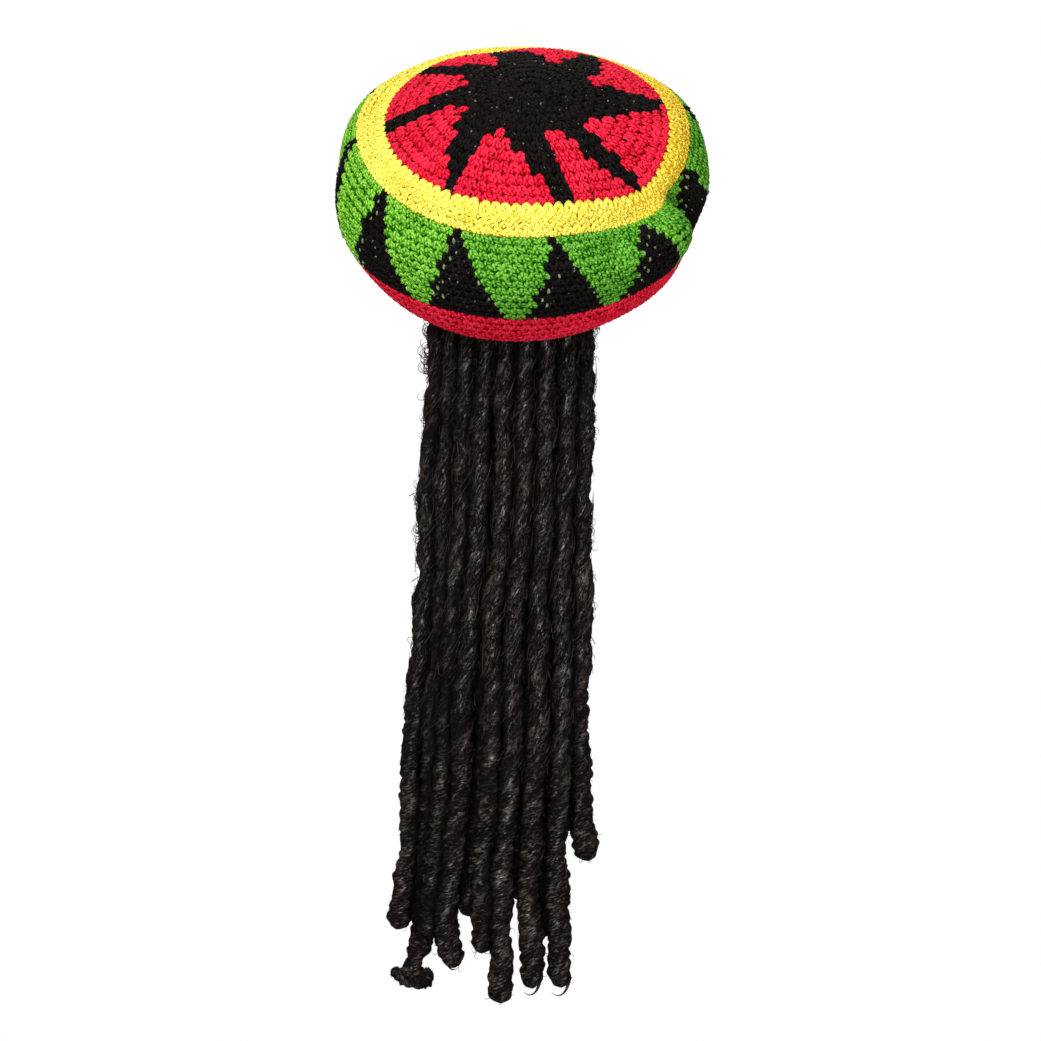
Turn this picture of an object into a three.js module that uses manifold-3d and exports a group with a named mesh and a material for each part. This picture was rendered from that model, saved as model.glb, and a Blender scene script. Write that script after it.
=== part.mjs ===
import * as THREE from 'three';
import { mergeVertices } from 'three/addons/utils/BufferGeometryUtils.js';
import Module from 'manifold-3d';

// A crocheted tam with a fringe of dreadlocks, in the form that it has when worn slouched back.
// Millimetres, +Z up. The wearer would face +Y, so the fringe hangs at the back, at -Y.
// The origin is the centre of the head opening.
// Angles are degrees round the tam, from the back (-Y) towards +X.
// Levels count its bands: 0 the crown's centre, 1 the crown's rim, 2 the yellow rounds' outer edge,
// 3 the widest round, 4 the green wall's lower edge, 5 the lowest round, 6 the head opening.

const wasm = await Module();
wasm.setup();

// Driving dimensions of the tam
const crownRadius = 106.5; // out to the yellow rounds
const crownRise = 32; // dome of the crown above its rim
const tamRadius = 140; // widest round
const sideDepth = 123.5; // crown's rim to head opening, along the tam's own axis
const openingRadius = 90; // head opening, stretched on a head of about 565 mm
const tamLean = 29; // degrees that the tam's axis leans back
const yarnWall = 4; // thickness of the crocheted wall
const pointWidth = 6.6; // blunt point of a red wedge or a triangle
const starRadius = 48; // solid black centre of the star
const rayTip = 9; // width of a ray where it meets the yellow
const wedgeSwell = 1.5; // how early a red wedge widens: at 1 it widens evenly
const triangleCount = 11;
const triangleBase = 61;
const triangleStart = 10.5; // angle of the triangle nearest the middle of the back
const triangleSlant = 4.5; // degrees that a triangle drifts from its tip down to its base
const edgeWidth = 6.5; // last round at the opening
const pieceGap = 0.3; // clearance between neighbouring pieces

// Driving dimensions of the fringe
const lockRadius = 9;
const lockLength = 537; // longest lock, from the head opening down to its tip
const lockRise = 8; // how far the locks reach up inside the opening
const rowSpacing = 15; // outer row of locks to inner row, where they hang free
const sewnSpacing = 8; // outer row to inner row where they are sewn on
const weftThickness = 4;
const weftHeight = 9;

// Rounds below the crown's rim. out is the share of the way from the rim to the widest round,
// inwards the share from there to the opening, down the share of the side's depth,
// and aside the sideways shift of the round as a share of the tam's radius.
const rounds = [
  { name: 'crown rim', out: 0, inwards: 0, down: 0, aside: 0.027 },
  { name: 'yellow edge', out: 0.5, inwards: 0, down: 0.145, aside: 0.004 },
  { name: 'widest round', out: 1, inwards: 0, down: 0.389, aside: 0.004 },
  { name: 'green edge', out: 1, inwards: 0.168, down: 0.69, aside: -0.008 },
  { name: 'lowest round', out: 1, inwards: 0.504, down: 0.94, aside: 0.008 },
  { name: 'opening', out: 1, inwards: 1, down: 1, aside: 0 },
];
const crownAside = 0.043;

// Folds, dents, swells and slumps of the slouched wall. spread is in degrees, reach in levels and
// slant in degrees for each level. out pushes the wall outwards and up moves it along the tam's
// axis, both as shares of the tam's radius and below 0 for inwards and down.
const folds = [
  { name: 'deep fold', angle: 69, level: 2.7, spread: 8, reach: 0.85, slant: 3, out: -0.14, up: 0 },
  { name: 'lower lobe', angle: 55, level: 2.75, spread: 10, reach: 0.8, slant: 4, out: 0.06, up: 0 },
  { name: 'upper lobe', angle: 88, level: 2.5, spread: 12, reach: 0.8, slant: 0, out: -0.01, up: 0 },
  { name: 'slumped rim', angle: 54, level: 1.4, spread: 24, reach: 1, slant: 0, out: 0, up: -0.12 },
  { name: 'shallow crease', angle: 32, level: 2.6, spread: 5.5, reach: 0.6, slant: 8, out: -0.03, up: 0 },
  { name: 'lower right tuck', angle: 42, level: 5, spread: 25, reach: 0.9, slant: 0, out: -0.02, up: 0 },
  { name: 'far shoulder', angle: 180, level: 1.9, spread: 78, reach: 0.7, slant: 0, out: 0.05, up: 0 },
  { name: 'right shoulder', angle: 116, level: 2.3, spread: 26, reach: 0.6, slant: 0, out: 0.05, up: 0 },
  { name: 'far left shoulder', angle: -118, level: 2.3, spread: 24, reach: 0.6, slant: 0, out: 0.03, up: 0 },
  { name: 'far rim', angle: 168, level: 1.7, spread: 34, reach: 0.7, slant: 0, out: -0.035, up: 0 },
  { name: 'left shoulder', angle: -80, level: 2.2, spread: 40, reach: 0.7, slant: 0, out: 0, up: 0.055 },
  { name: 'left belly', angle: -72, level: 3.75, spread: 26, reach: 0.6, slant: 0, out: 0.02, up: 0 },
  { name: 'left dent', angle: -93, level: 2.95, spread: 8, reach: 0.5, slant: 0, out: -0.015, up: 0 },
  { name: 'crown dip', angle: 195, level: 0.95, spread: 14, reach: 0.35, slant: 0, out: -0.02, up: 0 },
  { name: 'edge droop', angle: -26, level: 6, spread: 20, reach: 0.6, slant: 0, out: 0.035, up: 0 },
];

// Star: the angle of each ray's tip at the rim, and of the red wedge's point that follows it
const starRays = [
  { tip: 104, valley: 110 },
  { tip: 151, valley: 159 },
  { tip: 195, valley: 209 },
  { tip: 228, valley: 250 },
  { tip: 274, valley: 287 },
  { tip: 327, valley: 333 },
  { tip: 375, valley: 379 },
  { tip: 410, valley: 419 },
];

// Dreadlocks. at is the angle where a lock hangs in the opening, and its lengths are shares of
// lockLength: length down to its tip, aside its drift at the tip towards +X, hook its bend near the tip.
const outerLocks = [
  { at: -52, length: 0.92, aside: -0.057, hook: -0.006 },
  { at: -41, length: 1.0, aside: -0.05, hook: -0.012 },
  { at: -30, length: 0.912, aside: -0.06, hook: 0.004 },
  { at: -19, length: 0.946, aside: -0.066, hook: 0.014 },
  { at: -8, length: 0.918, aside: -0.039, hook: 0 },
  { at: 3, length: 0.99, aside: -0.043, hook: 0.004 },
  { at: 14, length: 0.97, aside: -0.028, hook: 0.006 },
  { at: 25, length: 0.975, aside: -0.015, hook: 0.006 },
  { at: 36, length: 0.797, aside: -0.008, hook: 0.014 },
];
const innerLocks = [
  { at: -46.5, length: 0.89, aside: -0.056, hook: 0 },
  { at: -35.5, length: 0.86, aside: -0.05, hook: 0 },
  { at: -24.5, length: 0.87, aside: -0.05, hook: 0 },
  { at: -13.5, length: 0.88, aside: -0.044, hook: 0 },
  { at: -2.5, length: 0.85, aside: -0.034, hook: 0 },
  { at: 8.5, length: 0.85, aside: -0.028, hook: 0 },
  { at: 19.5, length: 0.91, aside: -0.016, hook: 0 },
  { at: 30.5, length: 0.76, aside: -0.004, hook: 0 },
];

const { degToRad, radToDeg, lerp, clamp } = THREE.MathUtils;

const blackYarn = new THREE.MeshStandardMaterial({ color: 0x141212, roughness: 0.9, metalness: 0 });
const redYarn = new THREE.MeshStandardMaterial({ color: 0xd40a2c, roughness: 0.85, metalness: 0 });
const yellowYarn = new THREE.MeshStandardMaterial({ color: 0xf8e043, roughness: 0.85, metalness: 0 });
const greenYarn = new THREE.MeshStandardMaterial({ color: 0x38961a, roughness: 0.85, metalness: 0 });
const hair = new THREE.MeshStandardMaterial({ color: 0x17110e, roughness: 0.65, metalness: 0 });

// Outline of the tam: x is the radius, y the sideways shift and z the height above the opening.
// It starts on the far side of the crown, so that the crown's centre is level.
function tamOutline() {
  const points = [-0.5, 0, 0.5].map((share) => new THREE.Vector3(
    share * crownRadius,
    crownAside * tamRadius,
    sideDepth + crownRise * (1 - share * share),
  ));
  for (const round of rounds) {
    points.push(new THREE.Vector3(
      crownRadius + round.out * (tamRadius - crownRadius) + round.inwards * (openingRadius - tamRadius),
      round.aside * tamRadius,
      sideDepth * (1 - round.down),
    ));
  }
  const opening = points.at(-1);
  const lowest = points.at(-2);
  // One more point beyond the opening makes the fabric arrive there square to the tam's axis
  points.push(new THREE.Vector3(2 * opening.x - lowest.x, opening.y, lowest.z));
  return new THREE.CatmullRomCurve3(points, false, 'catmullrom', 0.5);
}

const outline = tamOutline();
const lastKnot = outline.points.length - 1;

function outlineAt(level) {
  const knot = level <= 1 ? 1 + 2 * level : 2 + level;
  return outline.getPoint(knot / lastKnot);
}

// How far the folds push the wall out and up at a place
function foldShift(angle, level) {
  const shift = { out: 0, up: 0 };
  for (const fold of folds) {
    const past = level - fold.level;
    const turn = angle - fold.angle - fold.slant * past;
    const across = (turn - 360 * Math.round(turn / 360)) / fold.spread;
    const along = past / fold.reach;
    const strength = tamRadius * Math.exp(-across * across - along * along);
    shift.out += fold.out * strength;
    shift.up += fold.up * strength;
  }
  return shift;
}

// A point of the wall: depth 0 is its outside, yarnWall its inside
function wallPoint(angle, level, depth = 0) {
  const slopeStep = 0.01;
  const here = outlineAt(level);
  const slope = outlineAt(level + slopeStep).sub(outlineAt(level - slopeStep));
  const slopeLength = Math.hypot(slope.x, slope.z);
  const shift = foldShift(angle, level);
  const lift = shift.out - depth;
  const radius = here.x - (lift * slope.z) / slopeLength;
  const turn = degToRad(angle);
  return new THREE.Vector3(
    here.y + radius * Math.sin(turn),
    -radius * Math.cos(turn),
    here.z + shift.up + (lift * slope.x) / slopeLength,
  );
}

const degreesFor = (length, level) => radToDeg(length / outlineAt(level).x);

function levelsFor(length, level) {
  const step = 0.01;
  const start = outlineAt(level - step);
  const end = outlineAt(level + step);
  return (2 * step * length) / Math.hypot(end.x - start.x, end.z - start.z);
}

function bodyFrom(positions, faces) {
  const geometry = new THREE.BufferGeometry();
  geometry.setAttribute('position', new THREE.Float32BufferAttribute(positions, 3));
  geometry.setIndex(faces);
  geometry.computeVertexNormals();
  return geometry;
}

// A piece of the wall: the cells of a grid of levels and columns round the tam that it keeps,
// with an outside, an inside and walls along its borders, which stand back by half the clearance.
function wallPiece({ levels, columns, angleAt, keeps }) {
  const rows = levels.length - 1;
  const kept = (row, column) => {
    const inRange = row >= 0 && row < rows;
    return inRange && keeps(row, (column + columns) % columns);
  };
  const positions = [];
  const faces = [];
  const known = new Map();

  const vertex = (row, column, inside) => {
    const ringColumn = levels[row] === 0 ? 0 : (column + columns) % columns;
    const key = `${row} ${ringColumn} ${inside}`;
    if (!known.has(key)) {
      let level = levels[row];
      let angle = angleAt(level, ringColumn);
      if (level > 0) {
        const around = [[-1, -1], [-1, 0], [0, -1], [0, 0]];
        const cells = around.filter(([down, right]) => kept(row + down, ringColumn + right));
        const rightwards = cells.reduce((sum, [, right]) => sum + (right === 0 ? 1 : -1), 0);
        const downwards = cells.reduce((sum, [down]) => sum + (down === 0 ? 1 : -1), 0);
        angle += Math.sign(rightwards) * degreesFor(pieceGap / 2, level);
        level += Math.sign(downwards) * levelsFor(pieceGap / 2, level);
      }
      const point = wallPoint(angle, level, inside ? yarnWall : 0);
      known.set(key, positions.length / 3);
      positions.push(point.x, point.y, point.z);
    }
    return known.get(key);
  };

  const addFace = (...corners) => {
    const distinct = corners.filter((corner, index) => corner !== corners[(index + 1) % corners.length]);
    for (let index = 2; index < distinct.length; index += 1) {
      faces.push(distinct[0], distinct[index - 1], distinct[index]);
    }
  };

  for (let row = 0; row < rows; row += 1) {
    for (let column = 0; column < columns; column += 1) {
      if (!kept(row, column)) continue;
      const corners = [[row, column], [row + 1, column], [row + 1, column + 1], [row, column + 1]];
      const outside = corners.map(([r, c]) => vertex(r, c, false));
      const inside = corners.map(([r, c]) => vertex(r, c, true));
      addFace(...outside);
      addFace(...inside.toReversed());
      const neighbours = [[row, column - 1], [row + 1, column], [row, column + 1], [row - 1, column]];
      neighbours.forEach(([r, c], side) => {
        const next = (side + 1) % 4;
        if (!kept(r, c) && outside[side] !== outside[next]) {
          const border = [outside[next], outside[side], inside[side], inside[next]];
          // The two pieces at a border split its walls along the same diagonal, so their gap stays even
          if (side >= 2) border.push(border.shift());
          addFace(...border);
        }
      });
    }
  }
  return bodyFrom(positions, faces);
}

// Crown: a black star of rays that swirl a little, with red wedges between them
const starLevel = starRadius / crownRadius;
const crownLevels = [0, 0.5 * starLevel, starLevel, lerp(starLevel, 1, 1 / 3), lerp(starLevel, 1, 2 / 3), 1];
const wedgeColumns = 6;
const rayColumns = 3;
const sectorColumns = wedgeColumns + rayColumns;
const crownColumns = starRays.length * sectorColumns;

// The two sides of the red wedge after a ray, at a level
function wedgeSides(ray, level) {
  const inwards = clamp((1 - level) / (1 - starLevel), 0, 1);
  const outwards = 1 - inwards ** wedgeSwell;
  const { tip, valley } = starRays[ray % starRays.length];
  const nextTip = ray + 1 < starRays.length ? starRays[ray + 1].tip : starRays[0].tip + 360;
  const halfPoint = degreesFor(pointWidth / 2, starLevel);
  const halfTip = degreesFor(rayTip / 2, 1);
  return [
    lerp(valley - halfPoint, tip + halfTip, outwards),
    lerp(valley + halfPoint, nextTip - halfTip, outwards),
  ];
}

function crownAngle(level, column) {
  const ray = Math.floor(column / sectorColumns);
  const place = column % sectorColumns;
  const [start, end] = wedgeSides(ray, level);
  if (place <= wedgeColumns) return lerp(start, end, place / wedgeColumns);
  const last = ray + 1 === starRays.length;
  const nextStart = wedgeSides(last ? 0 : ray + 1, level)[0] + (last ? 360 : 0);
  return lerp(end, nextStart, (place - wedgeColumns) / rayColumns);
}

const firstRayRow = crownLevels.indexOf(starLevel);
const inWedge = (row, column) => row >= firstRayRow && column % sectorColumns < wedgeColumns;

function crownPiece(keeps) {
  return wallPiece({ levels: crownLevels, columns: crownColumns, angleAt: crownAngle, keeps });
}

// Side: its columns crowd together along the triangles' slanting edges
const tipLevel = 2 + levelsFor(pointWidth / 2, 2);
const greenLevels = [2, tipLevel, 2.55, 3, 3.5, 4];
const triangleTurn = 360 / triangleCount; // degrees from one triangle to the next
const cellsAcross = 4; // columns of a triangle, and of the green between two
const sideColumns = 2 * cellsAcross * triangleCount;

function triangleHalf(level) {
  const down = clamp((level - tipLevel) / (4 - tipLevel), 0, 1);
  return degreesFor(lerp(pointWidth, triangleBase, down) / 2, clamp(level, 2, 4));
}

function sideAngle(level, column) {
  const triangle = Math.floor(column / (2 * cellsAcross));
  const place = column % (2 * cellsAcross);
  const half = triangleHalf(level);
  const edges = [-0.5 * triangleTurn, -half, half, 0.5 * triangleTurn];
  const halfCells = cellsAcross / 2;
  let offset = lerp(edges[1], edges[2], (place - halfCells) / cellsAcross);
  if (place < halfCells) offset = lerp(edges[0], edges[1], place / halfCells);
  if (place > halfCells + cellsAcross) {
    offset = lerp(edges[2], edges[3], (place - halfCells - cellsAcross) / halfCells);
  }
  const even = (place / (2 * cellsAcross) - 0.5) * triangleTurn;
  const crowding = level < 3 ? clamp(level - 1, 0, 1) : clamp((6 - level) / 2, 0, 1);
  const drift = triangleSlant * clamp((level - 2) / 2, 0, 1);
  return triangleStart + triangle * triangleTurn + drift + lerp(even, offset, crowding);
}

const isTriangle = (row, column) => {
  const place = column % (2 * cellsAcross);
  return row > 0 && place >= cellsAcross / 2 && place < 1.5 * cellsAcross;
};

function sidePiece(levels, keeps = () => true) {
  return wallPiece({ levels, columns: sideColumns, angleAt: sideAngle, keeps });
}

const edgeLevel = 6 - edgeWidth / wallPoint(180, 5).distanceTo(wallPoint(180, 6));
const undersideLevels = [4, 4.6, 5.15, edgeLevel];

// Closed body through rings of points, with a flat first end and a point at the other
function bodyThroughRings(rings, tip) {
  const sides = rings[0].length;
  const positions = rings.flat().concat(tip).flatMap((point) => point.toArray());
  const faces = [];
  for (let index = 2; index < sides; index += 1) faces.push(0, index - 1, index);
  for (let ring = 1; ring < rings.length; ring += 1) {
    for (let side = 0; side < sides; side += 1) {
      const next = (side + 1) % sides;
      const above = (ring - 1) * sides;
      const below = ring * sides;
      faces.push(above + side, below + side, below + next);
      faces.push(above + side, below + next, above + next);
    }
  }
  const lastRing = (rings.length - 1) * sides;
  for (let side = 0; side < sides; side += 1) {
    faces.push(lastRing + side, rings.length * sides, lastRing + ((side + 1) % sides));
  }
  return bodyFrom(positions, faces);
}

const lean = new THREE.Matrix4().makeRotationX(degToRad(tamLean));

// Where a lock hangs in the opening: clear of the edge round, which droops and leans over it
function lockHang(angle, inset) {
  const droop = Math.max(0, -wallPoint(angle, 6).z);
  const leaned = lockRadius / Math.cos(degToRad(tamLean)) + droop * Math.tan(degToRad(tamLean));
  const radius = openingRadius - pieceGap - leaned - inset;
  const turn = degToRad(angle);
  return new THREE.Vector3(radius * Math.sin(turn), -radius * Math.cos(turn), 0).applyMatrix4(lean);
}

const lockSides = 6;
const outerSteps = 10; // sections along a lock of the outer row
const innerSteps = 8;
const lockWave = 0.2; // sway of a lock, as a share of its radius
const lockLump = 0.07; // thick and thin of a lock, as a share of its radius
const lockTop = 0.95; // thickness at the top, as a share of the thickness at the tip

// One dreadlock: round sections that sway, drift aside and end in a rounded, slightly hooked tip
function lockBody({ lock, index, inset, spreadOut, steps }) {
  const hang = lockHang(lock.at, inset);
  const top = hang.z + lockRise;
  const bottom = hang.z - lock.length * lockLength;
  const rings = [];
  const centreAt = (share) => {
    const sway = 2 * Math.PI * (2.6 * share + 0.11 * index);
    const settle = clamp(4 * share, 0, 1);
    const hooked = Math.max(0, share - 0.86) / 0.14;
    return new THREE.Vector3(
      hang.x + lockLength * (lock.aside * share ** 1.2 + lock.hook * hooked * hooked)
        + settle * lockWave * lockRadius * Math.sin(sway),
      hang.y + spreadOut * settle + settle * lockWave * lockRadius * Math.cos(sway),
      lerp(top, bottom, share),
    );
  };
  const tipShare = lockRadius / (top - bottom);
  const addRing = (share, size) => {
    const centre = centreAt(share);
    const points = [];
    for (let side = 0; side < lockSides; side += 1) {
      const turn = (2 * Math.PI * side) / lockSides;
      const offset = new THREE.Vector3(Math.cos(turn), Math.sin(turn), 0);
      points.push(centre.clone().addScaledVector(offset, size * lockRadius));
    }
    rings.push(points);
  };
  for (let step = 0; step <= steps; step += 1) {
    const share = (step / steps) * (1 - tipShare);
    const lump = lockLump * Math.sin(2 * Math.PI * (6.5 * share + 0.37 * index));
    addRing(share, lerp(lockTop, 1, share) + lump);
  }
  addRing(1 - 0.3 * tipShare, 0.6);
  return bodyThroughRings(rings, centreAt(1));
}

// The weft: the sewn strip just inside the edge round that carries the locks
function weftBody() {
  const start = outerLocks[0].at - 6;
  const end = outerLocks.at(-1).at + 6;
  const steps = 12;
  const outerRadius = openingRadius - pieceGap;
  const sections = [];
  for (let step = 0; step <= steps; step += 1) {
    const angle = lerp(start, end, step / steps);
    const turn = degToRad(angle);
    const foot = wallPoint(angle, 6).z + 1;
    const corners = [
      [outerRadius, foot], [outerRadius, foot + weftHeight],
      [outerRadius - weftThickness, foot + weftHeight], [outerRadius - weftThickness, foot],
    ];
    sections.push(corners.map(([radius, height]) => (
      new THREE.Vector3(radius * Math.sin(turn), -radius * Math.cos(turn), height).applyMatrix4(lean)
    )));
  }
  const positions = sections.flat().flatMap((point) => point.toArray());
  const faces = [0, 1, 2, 0, 2, 3];
  for (let step = 0; step < steps; step += 1) {
    for (let corner = 0; corner < 4; corner += 1) {
      const here = 4 * step;
      const next = (corner + 1) % 4;
      faces.push(here + corner, here + 4 + corner, here + 4 + next);
      faces.push(here + corner, here + 4 + next, here + next);
    }
  }
  const last = 4 * steps;
  faces.push(last, last + 2, last + 1, last, last + 3, last + 2);
  return bodyFrom(positions, faces);
}

function toSolid(geometry) {
  geometry.deleteAttribute('normal');
  const merged = mergeVertices(geometry, 1e-4);
  return new wasm.Manifold(new wasm.Mesh({
    numProp: 3,
    vertProperties: merged.attributes.position.array,
    triVerts: new Uint32Array(merged.index.array),
  }));
}

function fromSolid(solid) {
  const { numProp, vertProperties, triVerts } = solid.getMesh();
  const geometry = new THREE.BufferGeometry();
  geometry.setAttribute('position', new THREE.BufferAttribute(vertProperties, numProp));
  geometry.setIndex(new THREE.BufferAttribute(triVerts, 1));
  geometry.computeVertexNormals();
  return geometry;
}

function fringeBody() {
  const outer = outerLocks.map((lock, index) => (
    { lock, index, inset: 0, spreadOut: 0, steps: outerSteps }
  ));
  const inner = innerLocks.map((lock, index) => (
    { lock, index: index + 0.5, inset: sewnSpacing, spreadOut: rowSpacing - sewnSpacing, steps: innerSteps }
  ));
  let fringe = toSolid(weftBody());
  for (const place of [...outer, ...inner]) fringe = fringe.add(toSolid(lockBody(place)));
  return fromSolid(fringe);
}

function named(name, geometry, material) {
  const mesh = new THREE.Mesh(geometry, material);
  mesh.name = name;
  return mesh;
}

// Assembly: the tam leans back about the opening, and the fringe hangs straight down
const tam = new THREE.Group();
tam.applyMatrix4(lean);

tam.add(named('crown_star', crownPiece((row, column) => !inWedge(row, column)), blackYarn));
starRays.forEach((_, ray) => {
  const ownWedge = (row, column) => inWedge(row, column) && Math.floor(column / sectorColumns) === ray;
  tam.add(named(`crown_red_${ray + 1}`, crownPiece(ownWedge), redYarn));
});

tam.add(named('yellow_round', sidePiece([1, 1.5, 2]), yellowYarn));
tam.add(named('green_side', sidePiece(greenLevels, (row, column) => !isTriangle(row, column)), greenYarn));
for (let triangle = 0; triangle < triangleCount; triangle += 1) {
  const ownCells = (row, column) => (
    isTriangle(row, column) && Math.floor(column / (2 * cellsAcross)) === triangle
  );
  const name = `triangle_${String(triangle + 1).padStart(2, '0')}`;
  tam.add(named(name, sidePiece(greenLevels, ownCells), blackYarn));
}
tam.add(named('red_underside', sidePiece(undersideLevels), redYarn));
tam.add(named('edge_round', sidePiece([edgeLevel, 6]), yellowYarn));

const assembly = new THREE.Group();
assembly.add(tam);
assembly.add(named('dreadlock_fringe', fringeBody(), hair));

export default assembly;
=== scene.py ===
"""A crocheted tam with a fringe of dreadlocks, worn slouched back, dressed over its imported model.

Metres, +Z up. The wearer would face +Y, and the fringe hangs at -Y.
Angles are degrees round the tam, from the back (-Y) towards +X. Levels count the bands of the wall:
0 the crown's centre, 1 its rim, 2 the yellow rounds' outer edge, 3 the widest round,
4 the green wall's lower edge, 5 the lowest round, 6 the head opening.
"""

import math
import random

import bmesh
import bpy
from mathutils import Matrix, Vector, noise


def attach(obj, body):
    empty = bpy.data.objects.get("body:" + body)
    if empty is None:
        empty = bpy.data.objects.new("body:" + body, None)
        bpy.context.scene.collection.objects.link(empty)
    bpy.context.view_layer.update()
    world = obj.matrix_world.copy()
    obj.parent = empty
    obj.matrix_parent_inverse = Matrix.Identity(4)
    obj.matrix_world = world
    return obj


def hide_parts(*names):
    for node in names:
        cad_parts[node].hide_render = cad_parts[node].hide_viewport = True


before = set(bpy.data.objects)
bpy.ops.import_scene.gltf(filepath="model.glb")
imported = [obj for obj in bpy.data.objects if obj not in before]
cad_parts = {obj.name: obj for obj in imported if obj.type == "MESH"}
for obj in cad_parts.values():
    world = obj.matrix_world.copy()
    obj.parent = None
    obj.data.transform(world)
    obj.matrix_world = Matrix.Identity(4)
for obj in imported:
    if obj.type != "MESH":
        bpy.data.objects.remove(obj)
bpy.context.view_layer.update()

# Form of the tam, as in the part's source
CROWN_RADIUS = 0.1065
CROWN_RISE = 0.032
CROWN_ASIDE = 0.043
TAM_RADIUS = 0.14
SIDE_DEPTH = 0.1235
OPENING_RADIUS = 0.09
TAM_LEAN = math.radians(29)
YARN_WALL = 0.004
STAR_RADIUS = 0.048
POINT_WIDTH = 0.0066
RAY_TIP = 0.009
WEDGE_SWELL = 1.5
TRIANGLE_COUNT = 11
TRIANGLE_BASE = 0.061
TRIANGLE_START = 10.5
TRIANGLE_SLANT = 4.5
EDGE_WIDTH = 0.0065

# Form of the fringe
LOCK_RADIUS = 0.009
LOCK_TOP = 0.88
INNER_LOCK_SWELL = 1.12
LOCK_LENGTH = 0.537
LOCK_RISE = 0.008
ROW_SPACING = 0.015
SEWN_SPACING = 0.008
WEFT_THICKNESS = 0.004
WEFT_HEIGHT = 0.009
PIECE_GAP = 0.0003

# Rounds of the wall below the crown's rim: out, inwards, down, aside
ROUNDS = [
    (0, 0, 0, 0.027),
    (0.5, 0, 0.145, 0.004),
    (1, 0, 0.389, 0.004),
    (1, 0.168, 0.69, -0.008),
    (1, 0.504, 0.94, 0.008),
    (1, 1, 1, 0),
]

# Folds of the wall: angle, level, spread, reach, slant, out, up
FOLDS = [
    (69, 2.7, 8, 0.85, 3, -0.14, 0),
    (55, 2.75, 10, 0.8, 4, 0.06, 0),
    (88, 2.5, 12, 0.8, 0, -0.01, 0),
    (54, 1.4, 24, 1, 0, 0, -0.12),
    (32, 2.6, 5.5, 0.6, 8, -0.03, 0),
    (42, 5, 25, 0.9, 0, -0.02, 0),
    (180, 1.9, 78, 0.7, 0, 0.05, 0),
    (116, 2.3, 26, 0.6, 0, 0.05, 0),
    (-118, 2.3, 24, 0.6, 0, 0.03, 0),
    (168, 1.7, 34, 0.7, 0, -0.035, 0),
    (-80, 2.2, 40, 0.7, 0, 0, 0.055),
    (-72, 3.75, 26, 0.6, 0, 0.02, 0),
    (-93, 2.95, 8, 0.5, 0, -0.015, 0),
    (195, 0.95, 14, 0.35, 0, -0.02, 0),
    (-26, 6, 20, 0.6, 0, 0.035, 0),
]

# Star: angle of each ray's tip at the rim, and of the red wedge's point that follows it
STAR_RAYS = [
    (104, 110), (151, 159), (195, 209), (228, 250),
    (274, 287), (327, 333), (375, 379), (410, 419),
]

# Locks of the two rows: at, length, aside, hook, and the radius of the loose tail that curls at the
# tip, above 0 towards +X and below 0 the other way
OUTER_LOCKS = [
    (-52, 0.92, -0.057, -0.006, 0),
    (-41, 0.985, -0.05, -0.012, -0.008),
    (-30, 0.912, -0.06, 0.004, 0),
    (-19, 0.946, -0.066, 0.014, 0.007),
    (-8, 0.918, -0.039, 0, 0),
    (3, 0.99, -0.043, 0.004, 0),
    (14, 0.97, -0.028, 0.006, -0.01),
    (25, 0.975, -0.015, 0.006, -0.011),
    (36, 0.797, -0.008, 0.014, 0),
]
INNER_LOCKS = [
    (-46.5, 0.89, -0.056, 0, 0),
    (-35.5, 0.86, -0.05, 0, 0),
    (-24.5, 0.87, -0.05, 0, 0),
    (-13.5, 0.88, -0.044, 0, 0),
    (-2.5, 0.85, -0.034, 0, 0),
    (8.5, 0.85, -0.028, 0, 0),
    (19.5, 0.91, -0.016, 0, 0),
    (30.5, 0.76, -0.004, 0, 0),
]

# The lock whose end has come unwound, and the share of its length at which it is pinched above that
UNWOUND_LOCK = "lock_outer_2"
PINCH_AT = 0.968
PINCH_SPREAD = 0.011
PINCH_DEPTH = 0.3
# Share of a lock's length at which its loose end or tail leaves it
TIP_SHARE = 0.985

# Frizzy loops off the fringe's sides: lock, share of its length, side, how many, their size
FRIZZ = [
    ("lock_outer_1", 0.075, -1, 8, 0.012),
    ("lock_outer_1", 0.115, -1, 22, 0.017),
    ("lock_outer_1", 0.2, -1, 12, 0.01),
    ("lock_outer_1", 0.33, -1, 16, 0.012),
    ("lock_outer_1", 0.39, -1, 16, 0.012),
    ("lock_outer_9", 0.02, 1, 22, 0.013),
    ("lock_outer_9", 0.05, 1, 14, 0.011),
    ("lock_outer_9", 0.4, 1, 8, 0.011),
]

LEAN = Matrix.Rotation(TAM_LEAN, 4, "X")


def mix(start, end, share):
    return start + (end - start) * share


def clamp(value, low=0.0, high=1.0):
    return max(low, min(high, value))


def camera_at_photo_angle():
    """The camera stands 3 m off, 10 degrees above the level of what it looks at"""
    distance = 3.0
    elevation = math.radians(10)
    # The photo's frame at the tam, and its middle
    frame_width = 0.7964
    target = Vector((-0.0011, -0.0347, -0.197))
    view = bpy.data.cameras.new("camera")
    view.lens = view.sensor_width * distance / frame_width
    camera = bpy.data.objects.new("camera", view)
    away = Vector((0, -math.cos(elevation), math.sin(elevation)))
    camera.location = target + distance * away
    camera.rotation_euler = away.to_track_quat("Z", "Y").to_euler()
    bpy.context.collection.objects.link(camera)
    bpy.context.scene.camera = camera


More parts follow.
